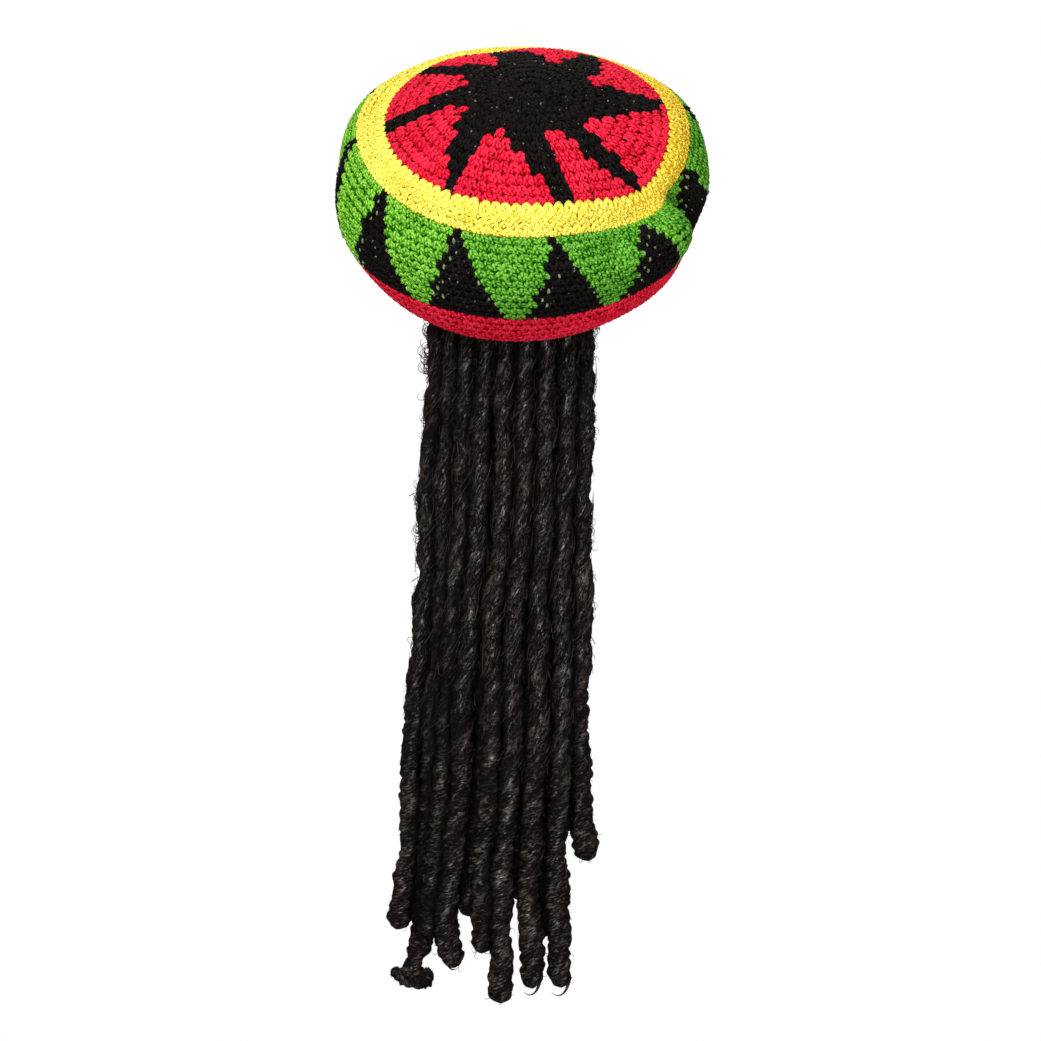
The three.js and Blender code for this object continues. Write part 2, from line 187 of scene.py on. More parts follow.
# Wall of the tam
def outline_points():
    points = [
        Vector((
            share * CROWN_RADIUS, CROWN_ASIDE * TAM_RADIUS, SIDE_DEPTH + CROWN_RISE * (1 - share * share)))
        for share in (-0.5, 0, 0.5)
    ]
    for out, inwards, down, aside in ROUNDS:
        radius = mix(CROWN_RADIUS, TAM_RADIUS, out) + inwards * (OPENING_RADIUS - TAM_RADIUS)
        points.append(Vector((radius, aside * TAM_RADIUS, SIDE_DEPTH * (1 - down))))
    lowest, opening = points[-2:]
    points.append(Vector((2 * opening.x - lowest.x, opening.y, lowest.z)))
    return [2 * points[0] - points[1], *points, 2 * points[-1] - points[-2]]


OUTLINE = outline_points()


def outline_at(level):
    """Radius, sideways shift and height of the wall at a level, on a smooth curve through the rounds"""
    knot = 1 + 2 * level if level <= 1 else 2 + level
    first = min(int(knot), len(OUTLINE) - 4)
    share = knot - first
    before, start, end, after = OUTLINE[first:first + 4]
    leave = (end - before) / 2
    arrive = (after - start) / 2
    bend = -3 * start + 3 * end - 2 * leave - arrive
    turn = 2 * start - 2 * end + leave + arrive
    return start + share * (leave + share * (bend + share * turn))


def fold_shift(angle, level):
    out_shift = 0.0
    up_shift = 0.0
    for at, at_level, spread, reach, slant, out, up in FOLDS:
        past = level - at_level
        turn = angle - at - slant * past
        across = (turn - 360 * round(turn / 360)) / spread
        along = past / reach
        power = across * across + along * along
        if power < 9:
            strength = TAM_RADIUS * math.exp(-power)
            out_shift += out * strength
            up_shift += up * strength
    return out_shift, up_shift


def wall_point(angle, level, depth=0.0):
    """A point of the wall: depth 0 is its outside, YARN_WALL its inside"""
    here = outline_at(level)
    slope = outline_at(level + 0.01) - outline_at(level - 0.01)
    slope_length = math.hypot(slope.x, slope.z)
    out_shift, up_shift = fold_shift(angle, level)
    lift = out_shift - depth
    radius = here.x - lift * slope.z / slope_length
    turn = math.radians(angle)
    height = here.z + up_shift + lift * slope.x / slope_length
    return LEAN @ Vector((here.y + radius * math.sin(turn), -radius * math.cos(turn), height))


def wall_axes(angle, level):
    """Outward and upward directions of the wall, upward being towards the crown's centre"""
    step = math.degrees(0.002 / max(outline_at(level).x, 0.004))
    right = wall_point(angle + step, level) - wall_point(angle - step, level)
    up = wall_point(angle, level - 0.02) - wall_point(angle, level + 0.02)
    outward = right.cross(up).normalized()
    return outward, outward.cross(right).normalized()


def degrees_for(length, level):
    return math.degrees(length / outline_at(level).x)


def levels_for(length, level):
    ends = outline_at(level + 0.01) - outline_at(level - 0.01)
    return 0.02 * length / math.hypot(ends.x, ends.z)


# Pattern of the star and the triangles, as in the part's source
STAR_LEVEL = STAR_RADIUS / CROWN_RADIUS
TIP_LEVEL = 2 + levels_for(POINT_WIDTH / 2, 2)
TRIANGLE_PITCH = 360 / TRIANGLE_COUNT
EDGE_LEVEL = 6 - EDGE_WIDTH / (wall_point(180, 5) - wall_point(180, 6)).length
WEDGE_COLUMNS = 6
RAY_COLUMNS = 3
SECTOR_COLUMNS = WEDGE_COLUMNS + RAY_COLUMNS
CELLS_ACROSS = 4


def wedge_sides(ray, level):
    outwards = 1 - clamp((1 - level) / (1 - STAR_LEVEL)) ** WEDGE_SWELL
    tip, valley = STAR_RAYS[ray]
    next_tip = STAR_RAYS[ray + 1][0] if ray + 1 < len(STAR_RAYS) else STAR_RAYS[0][0] + 360
    half_point = degrees_for(POINT_WIDTH / 2, STAR_LEVEL)
    half_tip = degrees_for(RAY_TIP / 2, 1)
    start = mix(valley - half_point, tip + half_tip, outwards)
    end = mix(valley + half_point, next_tip - half_tip, outwards)
    return start, end


def crown_angle(level, column):
    ray = int(column // SECTOR_COLUMNS)
    if ray == len(STAR_RAYS):
        return crown_angle(level, 0) + 360
    place = column % SECTOR_COLUMNS
    start, end = wedge_sides(ray, level)
    if place <= WEDGE_COLUMNS:
        return mix(start, end, place / WEDGE_COLUMNS)
    if ray + 1 < len(STAR_RAYS):
        next_start = wedge_sides(ray + 1, level)[0]
    else:
        next_start = wedge_sides(0, level)[0] + 360
    return mix(end, next_start, (place - WEDGE_COLUMNS) / RAY_COLUMNS)


def triangle_half(level):
    down = clamp((level - TIP_LEVEL) / (4 - TIP_LEVEL))
    return degrees_for(mix(POINT_WIDTH, TRIANGLE_BASE, down) / 2, clamp(level, 2, 4))


def triangle_drift(level):
    return TRIANGLE_SLANT * clamp((level - 2) / 2)


def side_angle(level, column):
    triangle = int(column // (2 * CELLS_ACROSS))
    place = column % (2 * CELLS_ACROSS)
    half = triangle_half(level)
    half_cells = CELLS_ACROSS / 2
    offset = mix(-half, half, (place - half_cells) / CELLS_ACROSS)
    if place < half_cells:
        offset = mix(-TRIANGLE_PITCH / 2, -half, place / half_cells)
    if place > 3 * half_cells:
        offset = mix(half, TRIANGLE_PITCH / 2, (place - 3 * half_cells) / half_cells)
    even = (place / (2 * CELLS_ACROSS) - 0.5) * TRIANGLE_PITCH
    crowding = clamp(level - 1) if level < 3 else clamp((6 - level) / 2)
    return TRIANGLE_START + triangle * TRIANGLE_PITCH + triangle_drift(level) + mix(even, offset, crowding)


def in_wedge(angle, level):
    if level < STAR_LEVEL:
        return False
    for ray in range(len(STAR_RAYS)):
        start, end = wedge_sides(ray, level)
        if (angle - start) % 360 < end - start:
            return True
    return False


def past_triangle(angle, level):
    """Degrees from the nearest triangle's edge: below 0 inside the triangle, above 0 outside"""
    turn = angle - TRIANGLE_START - triangle_drift(level)
    across = turn - TRIANGLE_PITCH * round(turn / TRIANGLE_PITCH)
    return abs(across) - triangle_half(level), across


# Pieces and node trees
def finished_piece(name, mesh, material, nodes=()):
    mesh.materials.clear()
    mesh.materials.append(material)
    piece = bpy.data.objects.new(name, mesh)
    bpy.context.collection.objects.link(piece)
    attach(piece, "root")
    if nodes:
        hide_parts(*nodes)
    return piece


def mesh_from(bm, name):
    bmesh.ops.recalc_face_normals(bm, faces=bm.faces)
    for face in bm.faces:
        face.smooth = True
    mesh = bpy.data.meshes.new(name)
    bm.to_mesh(mesh)
    bm.free()
    return mesh


def add_node(tree, kind, inputs=None, **settings):
    """A node with its settings made and its inputs set to values or linked to other nodes' sockets"""
    made = tree.nodes.new(kind)
    for setting, value in settings.items():
        setattr(made, setting, value)
    for socket, value in (inputs or {}).items():
        if isinstance(value, bpy.types.NodeSocket):
            tree.links.new(value, made.inputs[socket])
        else:
            made.inputs[socket].default_value = value
    return made


def maths(tree, operation, *values):
    return add_node(tree, "ShaderNodeMath", dict(enumerate(values)), operation=operation).outputs[0]


def mapped(tree, value, low, high):
    """Turns a value into a share, 0 at low and 1 at high"""
    return add_node(tree, "ShaderNodeMapRange", {
        "Value": value, "From Min": low, "From Max": high}).outputs[0]


def mix_colour(tree, share, first, second):
    made = add_node(tree, "ShaderNodeMix", data_type="RGBA")
    for socket, value in (("Factor_Float", share), ("A_Color", first), ("B_Color", second)):
        goal = next(entry for entry in made.inputs if entry.identifier == socket)
        if isinstance(value, bpy.types.NodeSocket):
            tree.links.new(value, goal)
        else:
            goal.default_value = value
    return next(entry for entry in made.outputs if entry.identifier == "Result_Color")


def shader_group(name, inputs, outputs):
    group = bpy.data.node_groups.new(name, "ShaderNodeTree")
    for label, kind in inputs.items():
        group.interface.new_socket(label, in_out="INPUT", socket_type=f"NodeSocket{kind}")
    for label, kind in outputs.items():
        group.interface.new_socket(label, in_out="OUTPUT", socket_type=f"NodeSocket{kind}")
    return group, group.nodes.new("NodeGroupInput").outputs


def ply_group():
    """Plied yarn: twisted ridges and fuzz, from the section and length kept on each strand"""
    group, given = shader_group(
        "plied_yarn",
        {"Strand": "Vector", "Tint": "Float", "Lift": "Float", "Contrast": "Float", "Place": "Vector",
         "Shade": "Color", "Yarn": "Color", "Light": "Color"},
        {"Color": "Color", "Height": "Float"},
    )
    plies = 2
    twist_pitch = 0.0052
    strand = add_node(group, "ShaderNodeSeparateXYZ", {0: given["Strand"]}).outputs
    around = maths(group, "ARCTAN2", strand[1], strand[0])
    start = maths(group, "MULTIPLY", given["Tint"], 40.0)
    wound = maths(group, "MULTIPLY_ADD", strand[2], 2 * math.pi * plies / twist_pitch, start)
    ridge = maths(group, "COSINE", maths(group, "MULTIPLY_ADD", around, plies, wound))
    ridge = maths(group, "MULTIPLY_ADD", ridge, 0.5, 0.5)
    fuzz = add_node(group, "ShaderNodeTexNoise", {
        "Vector": given["Place"], "Scale": 620.0, "Detail": 3.0, "Roughness": 0.7}).outputs[0]
    fuzz = mapped(group, fuzz, 0.3, 0.7)
    patch = add_node(group, "ShaderNodeTexNoise", {
        "Vector": given["Place"], "Scale": 60.0, "Detail": 2.0}).outputs[0]
    height = maths(group, "MULTIPLY_ADD", fuzz, 0.5, ridge)
    # Lightness about 0: the stitch's own tint; painted light where the yarn stands out and painted shade
    # where it sinks into the valleys between stitches; painted shade in the grooves between its plies; fuzz
    # and patches
    # Painted shade and highlight: the yarn is darker in the grooves between its plies and lighter on them
    light = maths(group, "MULTIPLY_ADD", given["Tint"], 0.3, maths(group, "MULTIPLY", ridge, 0.5))
    # Painted light and shade: yarn that stands out is lighter, yarn sunk between the stitches darker
    light = maths(group, "MULTIPLY_ADD", given["Lift"], 0.95, light)
    light = maths(group, "MULTIPLY_ADD", fuzz, 0.55, light)
    light = maths(group, "MULTIPLY_ADD", patch, 0.5, maths(group, "ADD", light, -1.42))
    light = maths(group, "MULTIPLY", light, given["Contrast"])
    low = mapped(group, light, -0.75, 0.0)
    high = mapped(group, light, 0.0, 0.75)
    colour = mix_colour(group, low, given["Shade"], given["Yarn"])
    colour = mix_colour(group, high, colour, given["Light"])
    add_node(group, "NodeGroupOutput", {"Color": colour, "Height": height})
    return group


def crochet_group():
    """Relief of crochet seen from its plain side: rounds of slanting loops, from the cloth's own map"""
    group, given = shader_group(
        "crochet_relief",
        {"Cloth": "Vector", "Place": "Vector", "Shade": "Color", "Yarn": "Color"},
        {"Color": "Color", "Height": "Float"},
    )
    cloth = add_node(group, "ShaderNodeSeparateXYZ", {0: given["Cloth"]}).outputs
    rib = maths(group, "ABSOLUTE", maths(group, "SINE", maths(group, "MULTIPLY", cloth[1], math.pi)))
    leaning = maths(group, "MULTIPLY_ADD", cloth[1], 0.8, cloth[0])
    leg = maths(group, "ABSOLUTE", maths(group, "COSINE", maths(group, "MULTIPLY", leaning, 2 * math.pi)))
    loop = maths(group, "MULTIPLY", rib, maths(group, "MULTIPLY_ADD", leg, 0.6, 0.4))
    fuzz = add_node(group, "ShaderNodeTexNoise", {
        "Vector": given["Place"], "Scale": 900.0, "Detail": 3.0}).outputs[0]
    height = maths(group, "MULTIPLY_ADD", fuzz, 0.25, loop)
    # Painted shade: the relief's low places take the Shade colour, darkening the hollows between loops
    share = mapped(group, height, 0.2, 1.0)
    add_node(group, "NodeGroupOutput", {
        "Color": mix_colour(group, share, given["Shade"], given["Yarn"]), "Height": height})
    return group


def hair_group():
    """Fibres of twisted hair: crinkled streaks of painted highlight along a lock, that wind round it where it
    is wound tightly
    """
    group, given = shader_group(
        "twisted_hair",
        {"Strand": "Vector", "Wound": "Float", "Shade": "Color", "Hair": "Color", "Light": "Color"},
        {"Color": "Color", "Height": "Float", "Streak": "Float"},
    )
    strand = add_node(group, "ShaderNodeSeparateXYZ", {0: given["Strand"]}).outputs
    long = add_node(group, "ShaderNodeCombineXYZ", {
        "X": strand[0], "Y": strand[1], "Z": maths(group, "MULTIPLY", strand[2], 34.0)}).outputs[0]
    wind = maths(group, "MULTIPLY", strand[2], -55.0)
    lay = add_node(
        group, "ShaderNodeVectorRotate", {"Vector": long, "Angle": wind}, rotation_type="Z_AXIS").outputs[0]
    twisted = add_node(group, "ShaderNodeTexNoise", {
        "Vector": lay, "Scale": 7.0, "Detail": 3.0, "Roughness": 0.7, "Distortion": 1.3}).outputs[0]
    tilt = maths(group, "MULTIPLY", strand[0], 1.6)
    rings = add_node(group, "ShaderNodeCombineXYZ", {
        "X": strand[0], "Y": strand[1], "Z": maths(group, "MULTIPLY_ADD", strand[2], 420.0, tilt)}).outputs[0]
    wrapped = add_node(group, "ShaderNodeTexNoise", {
        "Vector": rings, "Scale": 2.0, "Detail": 4.0, "Roughness": 0.75, "Distortion": 0.4}).outputs[0]
    clump = add_node(group, "ShaderNodeTexNoise", {"Vector": lay, "Scale": 1.6, "Detail": 2.0}).outputs[0]
    fibre = maths(group, "MULTIPLY_ADD", maths(group, "SUBTRACT", wrapped, twisted), given["Wound"], twisted)
    lit = maths(group, "MULTIPLY_ADD", clump, 0.35, fibre)
    # Painted highlight and shade: the Light colour where the fibre pattern is highest, the Shade colour where
    # it is lowest
    streak = mapped(group, lit, 0.7, 0.88)
    deep = mapped(group, lit, 0.54, 0.72)
    colour = mix_colour(group, deep, given["Shade"], given["Hair"])
    colour = mix_colour(group, streak, colour, given["Light"])
    add_node(group, "NodeGroupOutput", {
        "Color": colour, "Height": maths(group, "MULTIPLY_ADD", clump, 0.4, fibre), "Streak": streak})
    return group


def linear(red, green, blue):
    """A screen colour of 0 to 255 as the shader wants it"""
    def channel(value):
        value /= 255
        return value / 12.92 if value <= 0.04045 else ((value + 0.055) / 1.055) ** 2.4
    return (channel(red), channel(green), channel(blue), 1.0)


def attribute(tree, name, output):
    return add_node(tree, "ShaderNodeAttribute", attribute_name=name).outputs[output]


def soft_shader(tree, colour, height, relief, roughness, shine=0.06):
    """A matt fibrous surface, with its relief in metres"""
    bump = add_node(tree, "ShaderNodeBump", {"Height": height, "Strength": 0.9, "Distance": relief})
    shader = add_node(tree, "ShaderNodeBsdfPrincipled", {
        "Base Color": colour, "Normal": bump.outputs[0], "Roughness": roughness, "Specular IOR Level": shine})
    add_node(tree, "ShaderNodeOutputMaterial", {"Surface": shader.outputs[0]})
    return shader


def new_material(name):
    material = bpy.data.materials.new(name)
    material.use_nodes = True
    material.node_tree.nodes.clear()
    return material, material.node_tree


def yarn_material(name, shade, yarn, light, contrast=1.0, aside=None, turn=(0.07, 0.16), fleck=None):
    """Yarn of the stitches. aside is the shade and colours that it turns to towards +X, between the two
    places in turn, which paints light and shade by side of the tam, and fleck is the colour of its specks"""
    material, tree = new_material(name)
    place = add_node(tree, "ShaderNodeTexCoord").outputs["Object"]
    # Painted light and shade by side: towards +X the colours turn to those of aside
    if aside:
        across = add_node(tree, "ShaderNodeSeparateXYZ", {0: place}).outputs[0]
        patch = add_node(tree, "ShaderNodeTexNoise", {
            "Vector": place, "Scale": 22.0, "Detail": 2.0}).outputs[0]
        across = maths(tree, "MULTIPLY_ADD", patch, 0.08, across)
        share = mapped(tree, across, *turn)
        shade, yarn, light = (
            mix_colour(tree, share, plain, turned) for plain, turned in zip((shade, yarn, light), aside))
    ply = add_node(tree, "ShaderNodeGroup", node_tree=PLIED_YARN)
    # On stitches the wound attribute holds how far the yarn stands out, fed in as painted light and shade
    for label, value in {
        "Strand": attribute(tree, "strand", "Vector"), "Tint": attribute(tree, "tint", "Fac"),
        "Lift": attribute(tree, "wound", "Fac"), "Contrast": contrast, "Place": place,
        "Shade": shade, "Yarn": yarn, "Light": light,
    }.items():
        if isinstance(value, bpy.types.NodeSocket):
            tree.links.new(value, ply.inputs[label])
        else:
            ply.inputs[label].default_value = value
    colour = ply.outputs["Color"]
    if fleck:
        speck = add_node(tree, "ShaderNodeTexNoise", {
            "Vector": place, "Scale": 330.0, "Detail": 1.0}).outputs[0]
        colour = mix_colour(tree, mapped(tree, speck, 0.72, 0.77), colour, fleck)
    soft_shader(tree, colour, ply.outputs["Height"], 0.0009, 0.85)
    return material


def cloth_material(name, shade, yarn):
    """Crocheted fabric behind the stitches, which is what shows on the inside of the tam"""
    material, tree = new_material(name)
    relief = add_node(tree, "ShaderNodeGroup", node_tree=CROCHET_RELIEF)
    tree.links.new(add_node(tree, "ShaderNodeUVMap", uv_map="cloth").outputs[0], relief.inputs["Cloth"])
    tree.links.new(add_node(tree, "ShaderNodeTexCoord").outputs["Object"], relief.inputs["Place"])
    relief.inputs["Shade"].default_value = shade
    relief.inputs["Yarn"].default_value = yarn
    soft_shader(tree, relief.outputs["Color"], relief.outputs["Height"], 0.0012, 0.9)
    return material


def hair_material(name, shade, hair, light):
    """Black hair whose lit streaks shine where they face the eye, with painted shade between the locks"""
    material, tree = new_material(name)
    twist = add_node(tree, "ShaderNodeGroup", node_tree=TWISTED_HAIR)
    tree.links.new(attribute(tree, "strand", "Vector"), twist.inputs["Strand"])
    tree.links.new(attribute(tree, "wound", "Fac"), twist.inputs["Wound"])
    twist.inputs["Shade"].default_value = shade
    twist.inputs["Hair"].default_value = hair
    twist.inputs["Light"].default_value = light
    # Painted shade: the colour turns to the shade colour where a lock lies deep between its neighbours
    colour = mix_colour(tree, attribute(tree, "between_locks_shade", "Fac"), twist.outputs["Color"], shade)
    shader = soft_shader(tree, colour, twist.outputs["Height"], 0.0012, 0.6, 0.06)
    # Gloss of the streaks, which hairs seen at a slant don't have
    facing = add_node(tree, "ShaderNodeLayerWeight", {"Blend": 0.5}).outputs["Facing"]
    gloss = mapped(tree, facing, 0.3, 0.0)
    free = maths(tree, "SUBTRACT", 1.0, attribute(tree, "between_locks_shade", "Fac"))
    gloss = maths(tree, "MULTIPLY", maths(tree, "MULTIPLY", gloss, free), twist.outputs["Streak"])
    tree.links.new(gloss, shader.inputs["Coat Weight"])
    shader.inputs["Coat Roughness"].default_value = 0.38
    shader.inputs["Coat IOR"].default_value = 1.7
    return material


def loose_hair_material(name, dark, light):
    """Single hairs, each with a tint of its own"""
    material, tree = new_material(name)
    place = add_node(tree, "ShaderNodeTexCoord").outputs["Object"]
    speck = add_node(tree, "ShaderNodeTexNoise", {"Vector": place, "Scale": 500.0, "Detail": 2.0}).outputs[0]
    share = maths(tree, "MULTIPLY", attribute(tree, "tint", "Fac"), maths(tree, "MULTIPLY", speck, 1.6))
    soft_shader(tree, mix_colour(tree, share, dark, light), speck, 0.0002, 0.4, 0.14)
    return material


# Strands: tubes that keep their section and length for the yarn and hair materials. A stitch is modelled
# 1 wide, and its yarn's twist is counted as if it were this wide in metres
STITCH_SPAN = 0.0066


def strand_mesh():
    bm = bmesh.new()
    bm.verts.layers.float_vector.new("strand")
    # wound: on locks how tightly they are wound, on yarn how far it stands out, for painted light and shade
    bm.verts.layers.float.new("wound")
    return bm


def frames_along(points, facing):
    """A frame at each point, its Z along the path and its Y close to facing"""
    frames = []
    for index, point in enumerate(points):
        ahead = points[min(index + 1, len(points) - 1)] - points[max(index - 1, 0)]
        along = ahead.normalized()
        side = facing.cross(along).normalized()
        frames.append((point, Matrix((side, along.cross(side), along)).transposed()))
    return frames


def sweep(bm, frames, sides, radius_at, wound_at=None):
    """A closed tube through frames. radius_at gives its radius for a frame's number and an angle"""
    strand = bm.verts.layers.float_vector["strand"]
    wound = bm.verts.layers.float["wound"]
    ring = bmesh.ops.create_circle(bm, cap_ends=True, segments=sides, radius=1.0)["verts"]
    edges = list({edge for vert in ring for edge in vert.link_edges})
    length = 0.0
    for index, (centre, axes) in enumerate(frames):
        if index:
            length += (centre - frames[index - 1][0]).length
            made = bmesh.ops.extrude_edge_only(bm, edges=edges)["geom"]
            ring = [part for part in made if isinstance(part, bmesh.types.BMVert)]
            kept = set(ring)
            edges = [
                part for part in made if isinstance(part, bmesh.types.BMEdge) and kept.issuperset(part.verts)]
            for vert in ring:
                section = vert[strand]
                vert.co = Vector((section.x, section.y, 0))
        for vert in ring:
            angle = math.atan2(vert.co.y, vert.co.x)
            radius = radius_at(index, angle)
            vert[strand] = Vector((math.cos(angle), math.sin(angle), length))
            vert[wound] = wound_at(index) if wound_at else 0.0
            vert.co = centre + axes @ Vector((radius * math.cos(angle), radius * math.sin(angle), 0))
    bmesh.ops.contextual_create(bm, geom=edges)


def stitch_shape():
    """One stitch: a bent strand whose legs stand on the round below, and a shorter one between them"""
    arch = [
        (-0.44, -0.52, 0.04), (-0.4, -0.24, 0.2), (-0.29, 0.06, 0.27), (-0.13, 0.3, 0.24), (0.05, 0.4, 0.17),
        (0.2, 0.24, 0.24), (0.33, -0.02, 0.28), (0.4, -0.27, 0.21), (0.42, -0.5, 0.05)]
    between = [(-0.17, -0.56, 0.02), (-0.08, -0.34, 0.17), (0.07, -0.12, 0.18), (0.14, 0.06, 0.08)]
    bm = strand_mesh()
    for path, radii in (
        (arch, [0.15, 0.23, 0.26, 0.25, 0.23, 0.24, 0.26, 0.23, 0.15]),
        (between, [0.15, 0.22, 0.22, 0.14]),
    ):
        points = [Vector(place) for place in path]
        sweep(bm, frames_along(points, Vector((0, 0, 1))), 6, lambda index, angle: radii[index])
    strand = bm.verts.layers.float_vector["strand"]
    lift = bm.verts.layers.float["wound"]
    # The wound attribute keeps how far each part stands out, for painted light on top and painted shade in
    # the valleys
    for vert in bm.verts:
        vert[strand].z *= STITCH_SPAN
        vert[lift] = clamp((vert.co.z - 0.08) / 0.38)
    return mesh_from(bm, "stitch_shape")


def nub_shape():
    """A short bowed end of yarn that shows between stitches. It is 1 long"""
    bow = [(0, -0.5, 0), (0.08, -0.2, 0.16), (0.04, 0.2, 0.2), (-0.06, 0.5, 0.02)]
    path = [Vector(place) for place in bow]
    radii = [0.13, 0.26, 0.25, 0.12]
    bm = strand_mesh()
    sweep(bm, frames_along(path, Vector((0, 0, 1))), 6, lambda index, angle: radii[index])
    # The wound attribute keeps how far each part stands out, for painted light on top and painted shade low
    # down
    lift = bm.verts.layers.float["wound"]
    for vert in bm.verts:
        vert[lift] = clamp((vert.co.z + 0.1) / 0.6)
    return mesh_from(bm, "nub_shape")


def hair_shape(points, thickness):
    """A fine hair of unit length that thins out to its end"""
    bm = strand_mesh()
    path = [Vector(point) for point in points]
    last = len(path) - 1
    sweep(bm, frames_along(path, Vector((0, 0, 1))), 3,
          lambda index, angle: thickness * (1 - 0.75 * index / last))
    return mesh_from(bm, "hair_shape")


def scatter_tree(shape):
    """Geometry nodes that stand a shape on each point, turned and sized by the point's attributes"""
    tree = bpy.data.node_groups.new("scatter", "GeometryNodeTree")
    tree.interface.new_socket("Geometry", in_out="INPUT", socket_type="NodeSocketGeometry")
    tree.interface.new_socket("Geometry", in_out="OUTPUT", socket_type="NodeSocketGeometry")
    points = tree.nodes.new("NodeGroupInput").outputs[0]

    def point_vector(name):
        return add_node(tree, "GeometryNodeInputNamedAttribute", {"Name": name},
                        data_type="FLOAT_VECTOR").outputs["Attribute"]

    turned = add_node(tree, "FunctionNodeAxesToRotation", {
        "Primary Axis": point_vector("outward"), "Secondary Axis": point_vector("upward")},
        primary_axis="Z", secondary_axis="Y")
    source = add_node(tree, "GeometryNodeObjectInfo", {"Object": shape})
    stood = add_node(tree, "GeometryNodeInstanceOnPoints", {
        "Points": points, "Instance": source.outputs["Geometry"],
        "Rotation": turned.outputs[0], "Scale": point_vector("size")})
    real = add_node(tree, "GeometryNodeRealizeInstances", {"Geometry": stood.outputs[0]})
    add_node(tree, "NodeGroupOutput", {"Geometry": real.outputs[0]})
    return tree


def scattered(name, shape_mesh, places):
    """One mesh of many copies of a shape. A place is (position, outward, upward, size, tint)"""
    bm = bmesh.new()
    layers = [bm.verts.layers.float_vector.new(label) for label in ("outward", "upward", "size")]
    tint = bm.verts.layers.float.new("tint")
    for position, *directions, lightness in places:
        vert = bm.verts.new(position)
        for layer, value in zip(layers, directions):
            vert[layer] = value
        vert[tint] = lightness
    points = bpy.data.meshes.new(name + "_points")
    bm.to_mesh(points)
    bm.free()
    holder = bpy.data.objects.new(name + "_points", points)
    shape = bpy.data.objects.new(name + "_shape", shape_mesh)
    bpy.context.collection.objects.link(holder)
    bpy.context.collection.objects.link(shape)
    tree = scatter_tree(shape)
    holder.modifiers.new("scatter", "NODES").node_group = tree
    mesh = bpy.data.meshes.new_from_object(holder.evaluated_get(bpy.context.evaluated_depsgraph_get()))
    for label in ("outward", "upward", "size"):
        if label in mesh.attributes:
            mesh.attributes.remove(mesh.attributes[label])
    bpy.data.objects.remove(holder)
    bpy.data.objects.remove(shape)
    bpy.data.node_groups.remove(tree)
    mesh.name = name
    return mesh


# The stitches' own ground lies this deep, so that the yarn comes out level with the wall
SUNK = 0.0024
CLOTH_DEPTH = 0.0019

# Stitches: first level, last level, rounds, stitches in the first round and in the last
STITCH_BANDS = {
    "crown": (0, 1, 13, 7, 86),
    "yellow": (1, 2, 4, 88, 104),
    "side": (2, 4, 11, 112, 112),
    "underside": (4, EDGE_LEVEL, 8, 112, 72),
    "edge": (EDGE_LEVEL, 6, 1, 72, 72),
}


def stitch_colour(band, angle, level):
    if band == "crown":
        return "crown_red" if in_wedge(angle, level) else "crown_star"
    if band == "side":
        return "triangles" if past_triangle(angle, level)[0] < 0 else "green_side"
    return {"yellow": "yellow_round", "underside": "red_underside", "edge": "edge_round"}[band]


def past_wedge_start(angle, level):
    """Degrees from the nearest red wedge's first side, past it"""
    return min((angle - wedge_sides(ray, level)[0]) % 360 for ray in range(len(STAR_RAYS)))


def stitch_places():
    """Where every stitch stands, by the piece that it belongs to, and where carried yarn shows through"""
    chance = random.Random(11)
    places = {"pale_loops": [], "dark_loops": []}
    for band, (first, last, count, first_stitches, last_stitches) in STITCH_BANDS.items():
        for index in range(count):
            level = mix(first, last, (index + 0.5) / count)
            height = (last - first) / count / levels_for(1, level)
            stitches = round(mix(first_stitches, last_stitches, index / max(count - 1, 1)))
            pitch = 360 / stitches
            # The first yellow round is drawn up over the red in rounded arches
            arch = band == "yellow" and index == 0
            for stitch in range(stitches):
                angle = pitch * (stitch + 0.5 * index)
                width = (wall_point(angle + pitch / 2, level) - wall_point(angle - pitch / 2, level)).length
                colour = stitch_colour(band, angle, level)
                outward, upward = wall_axes(angle, level)
                upward = Matrix.Rotation(math.radians(chance.gauss(0, 4 if arch else 9)), 3, outward) @ upward
                position = wall_point(angle + chance.gauss(0, 0.06) * pitch, level, SUNK)
                tall = chance.uniform(1.25, 1.4) if arch else chance.uniform(0.94, 1.16)
                size = Vector((width * chance.uniform(0.95, 1.12), height * tall, 0.78 * width))
                places.setdefault(colour, []).append((position, outward, upward, size, chance.random()))
                if band == "side":
                    past, across = past_triangle(angle, level)
                    likely = 0.75 if across < 0 else 0.3
                    if -1.0 * pitch < past < 0.3 * pitch and level > 2.2 and chance.random() < likely:
                        length = width * chance.uniform(0.34, 0.56)
                        aside = wall_point(angle + 0.4 * pitch, level + chance.uniform(-0.04, 0.04), 0.0001)
                        places["pale_loops"].append(
                            (aside, outward, upward, Vector((length, length, length)), chance.random()))
                if colour == "crown_red":
                    past = past_wedge_start(angle, level) / pitch
                    if 0.9 < past < 2.1 and chance.random() < 0.7:
                        length = width * chance.uniform(0.3, 0.45)
                        below = wall_point(angle + 0.45 * pitch, level + chance.uniform(-0.02, 0.02), 0.0002)
                        places["dark_loops"].append(
                            (below, outward, upward, Vector((length, length, length)), chance.random()))
    return places


# Fabric behind the stitches, with this many rounds of relief to a level of the wall
ROUNDS_PER_LEVEL = 5.5


